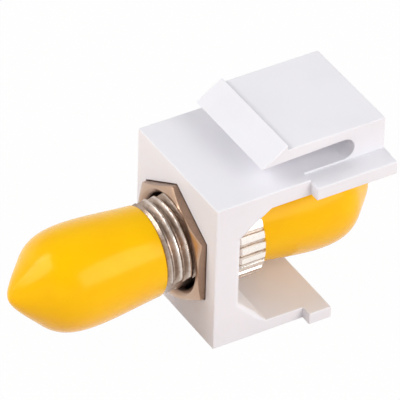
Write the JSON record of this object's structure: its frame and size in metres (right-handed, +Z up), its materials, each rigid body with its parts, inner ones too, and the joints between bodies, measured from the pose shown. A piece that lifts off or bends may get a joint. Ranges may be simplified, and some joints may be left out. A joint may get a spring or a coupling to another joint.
{
  "type": "fibre optic adapter",
  "caption": "Panel-mount fibre optic adapter: a threaded metal bayonet coupler with soft dust caps, held by a hex nut in a white snap-in insert with a flexing latch.",
  "frame": {"origin": "on the base plane, at the middle of the lower edge of the insert's front face", "axes": "+X across the insert to the right seen from the front, +Y along the adapter's axis to the rear, +Z up"},
  "size_m": [0.0168, 0.0384, 0.02],
  "materials": {
    "white_abs": "satin moulded",
    "nickel_nut": "satin nickel plate",
    "nickel_body": "bright nickel plate",
    "bronze_sleeve": "spring bronze",
    "pin_steel": "turned",
    "yellow_vinyl": "dipped vinyl"
  },
  "bodies": {
    "root": {"housing": "white_abs", "hex_nut": "nickel_nut", "adapter_body": "nickel_body", "rear_barrel": "nickel_body", "alignment_sleeve": "bronze_sleeve", "bayonet_pin_front_1": "pin_steel", "bayonet_pin_front_2": "pin_steel", "bayonet_pin_rear_1": "pin_steel", "bayonet_pin_rear_2": "pin_steel"},
    "latch": {"latch_arm": "white_abs"},
    "front_cap": {"dust_cap_front": "yellow_vinyl"},
    "rear_cap": {"dust_cap_rear": "yellow_vinyl"}
  },
  "joints": [
    {"name": "latch_flex", "type": "hinge", "parent": "root", "child": "latch", "pos_m": [0, 0.0143, 0.01895], "axis": [1, 0, 0], "range_deg": [0, 8], "stiffness_Nm_per_rad": 0.75},
    {"name": "front_cap_pull", "type": "slide", "parent": "root", "child": "front_cap", "axis": [0, -1, 0], "range_m": [0, 0.0105]},
    {"name": "rear_cap_pull", "type": "slide", "parent": "root", "child": "rear_cap", "axis": [0, 1, 0], "range_m": [0, 0.0125]}
  ]
}
